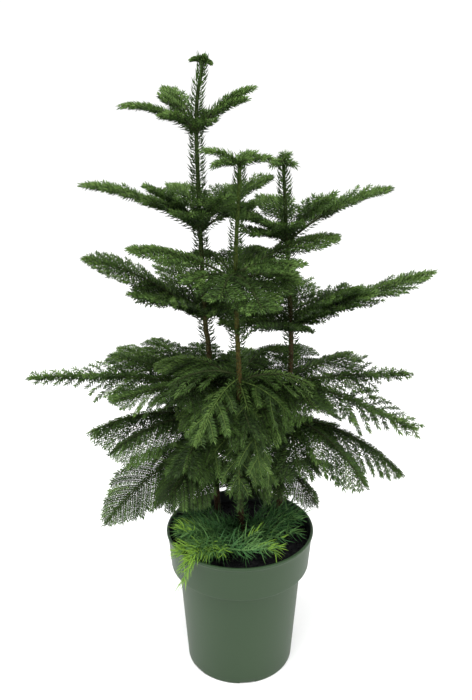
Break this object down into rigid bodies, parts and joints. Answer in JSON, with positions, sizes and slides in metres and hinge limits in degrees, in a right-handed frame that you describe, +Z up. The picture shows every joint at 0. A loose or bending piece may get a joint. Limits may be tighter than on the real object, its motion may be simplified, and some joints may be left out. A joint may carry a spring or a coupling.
{
  "type": "potted norfolk island pine",
  "caption": "Young Norfolk Island pine in a round nursery pot: slender stems grown as one clump, with tiers of feathery needle boughs and soft young shoots over the soil.",
  "frame": {"origin": "centre of the pot's flat underside", "axes": "+Z up along the pot's axis, +X to the right and +Y away as the plant is seen from its front"},
  "size_m": [0.5433, 0.3126, 0.8503],
  "materials": {
    "pot": "satin smooth grey-green plastic",
    "soil": "dark damp potting soil of peat and bark",
    "bark": "matt scaly bark, brown at the foot and green at the tip",
    "bough": "matt green-brown young bark",
    "sprays": "satin dark green needles",
    "young_shoots": "satin bright green soft needles"
  },
  "bodies": {
    "root": {"bough_left_b1": "bough", "bough_left_c1": "bough", "bough_right_b1": "bough", "bough_right_c1": "bough", "crown_left": "sprays", "crown_middle": "sprays", "crown_right": "sprays", "pot": "pot", "shoots_left": "young_shoots", "shoots_right": "young_shoots", "soil": "soil", "spray_left_a1": "sprays", "spray_left_a2": "sprays", "spray_left_a3": "sprays", "spray_left_a4": "sprays", "spray_left_b1": "sprays", "spray_left_b2": "sprays", "spray_left_b3": "sprays", "spray_left_b4": "sprays", "spray_left_b5": "sprays", "spray_left_c1": "sprays", "spray_left_c2": "sprays", "spray_left_c3": "sprays", "spray_left_c4": "sprays", "spray_left_d1": "sprays", "spray_left_d2": "sprays", "spray_left_d3": "sprays", "spray_left_d4": "sprays", "spray_left_d5": "sprays", "spray_left_e1": "sprays", "spray_left_e2": "sprays", "spray_left_e3": "sprays", "spray_left_f1": "sprays", "spray_middle_b1": "sprays", "spray_middle_b2": "sprays", "spray_middle_b3": "sprays", "spray_middle_b4": "sprays", "spray_middle_c1": "sprays", "spray_middle_c2": "sprays", "spray_middle_c3": "sprays", "spray_middle_c4": "sprays", "spray_middle_d1": "sprays", "spray_right_b1": "sprays", "spray_right_b2": "sprays", "spray_right_b3": "sprays", "spray_right_b4": "sprays", "spray_right_c1": "sprays", "spray_right_c2": "sprays", "spray_right_c3": "sprays", "spray_right_c4": "sprays", "spray_right_d1": "sprays", "spray_right_d2": "sprays", "spray_right_d3": "sprays", "spray_right_e1": "sprays", "spray_right_e2": "sprays", "spray_right_e3": "sprays", "spray_right_f1": "sprays", "trunk_left": "bark", "trunk_middle": "bark", "trunk_right": "bark"}
  },
  "joints": []
}
